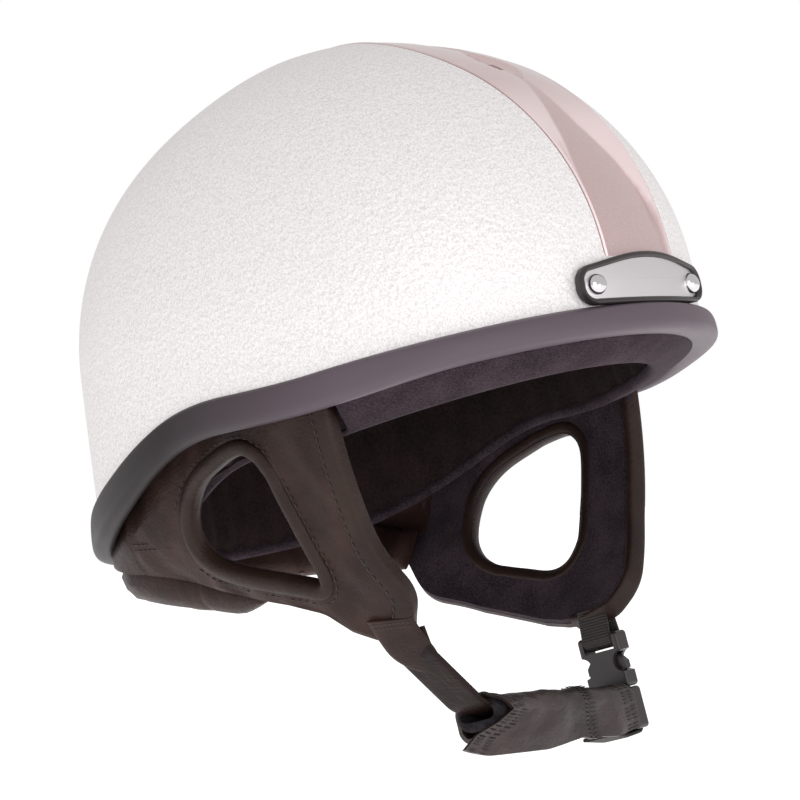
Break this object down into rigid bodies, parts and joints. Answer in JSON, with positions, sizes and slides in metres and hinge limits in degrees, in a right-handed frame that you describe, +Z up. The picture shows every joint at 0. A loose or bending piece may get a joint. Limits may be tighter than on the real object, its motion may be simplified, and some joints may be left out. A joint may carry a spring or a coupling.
{
  "type": "jockey skull cap",
  "caption": "Round riding skull cap with a sunk crown vent panel, rubber rim trim, leather side harness with ear holes, and a padded chin strap with a side-release buckle.",
  "frame": {"origin": "middle of the head's seat, level with the widest line of the shell", "axes": "front is -Y, the wearer's left is +X, up is +Z through the crown"},
  "size_m": [0.2184, 0.2645, 0.2808],
  "materials": {
    "shell_plastic": "metallic fleck lacquer",
    "panel_plastic": "gloss taupe lacquer",
    "trim_rubber": "satin",
    "bead_foam": "bead foam skin",
    "velour": "short pile",
    "lining_fabric": "brushed knit",
    "leather": "semi-gloss creased",
    "binding_leather": "semi-gloss piping",
    "web_fabric": "woven webbing",
    "fleece": "fleece",
    "black_plastic": "moulded",
    "plate_metal": "brushed",
    "rivet_steel": "polished"
  },
  "bodies": {
    "cap": {"outer_shell": "shell_plastic", "vent_panel": "panel_plastic", "rim_trim": "trim_rubber", "foam_liner": "bead_foam", "brow_band": "velour", "crown_lining": "lining_fabric", "crown_pad": "lining_fabric", "badge_surround": "black_plastic", "badge_plate": "plate_metal", "badge_rivets": "rivet_steel", "side_piece_left": "leather", "side_piece_right": "leather", "ear_binding_left": "binding_leather", "ear_binding_right": "binding_leather", "edge_binding_left": "binding_leather", "edge_binding_right": "binding_leather", "neck_band": "leather", "nape_pad": "leather", "anchors_left": "web_fabric", "anchors_right": "web_fabric", "harness_rivets": "rivet_steel", "rivet_washers": "rivet_steel", "strap_tab_left": "leather", "strap_tab_right": "leather"},
    "upper_strap": {"strap_root": "leather"},
    "buckle_socket": {"buckle_loop": "web_fabric", "buckle_female": "black_plastic"},
    "chin": {"chin_strap": "leather", "webbing": "web_fabric", "buckle_male": "black_plastic"},
    "front_prong": {"buckle_prong_front": "black_plastic"},
    "rear_prong": {"buckle_prong_rear": "black_plastic"},
    "sleeve": {"sleeve_leather": "leather", "sleeve_fleece": "fleece"}
  },
  "joints": [
    {"name": "chin_strap_swing", "type": "hinge", "parent": "cap", "child": "upper_strap", "pos_m": [0, -0.045, -0.116], "axis": [1, 0, 0], "range_deg": [-50, 25]},
    {"name": "buckle_swing", "type": "hinge", "parent": "cap", "child": "buckle_socket", "pos_m": [0, -0.045, -0.116], "axis": [1, 0, 0], "range_deg": [-50, 25]},
    {"name": "chin_strap_release", "type": "hinge", "parent": "upper_strap", "child": "chin", "pos_m": [-0.036, -0.04907, -0.14168], "axis": [0, 0.9877, -0.1564], "range_deg": [0, 70], "deforming": ["buckle_prong_front", "buckle_prong_rear"]},
    {"name": "front_prong_squeeze", "type": "hinge", "parent": "chin", "child": "front_prong", "pos_m": [0.051, -0.05576, -0.14811], "axis": [-1, 0, 0], "range_deg": [0, 10], "stiffness_Nm_per_rad": 0.5},
    {"name": "rear_prong_squeeze", "type": "hinge", "parent": "chin", "child": "rear_prong", "pos_m": [0.051, -0.04469, -0.14986], "axis": [1, 0, 0], "range_deg": [0, 10], "stiffness_Nm_per_rad": 0.5},
    {"name": "sleeve_slide", "type": "slide", "parent": "chin", "child": "sleeve", "axis": [0.9907, -0.0212, -0.134], "range_m": [-0.003, 0]}
  ],
  "couplings": [
    {"joint": "buckle_swing", "follows": "chin_strap_swing", "ratio": 1}
  ]
}
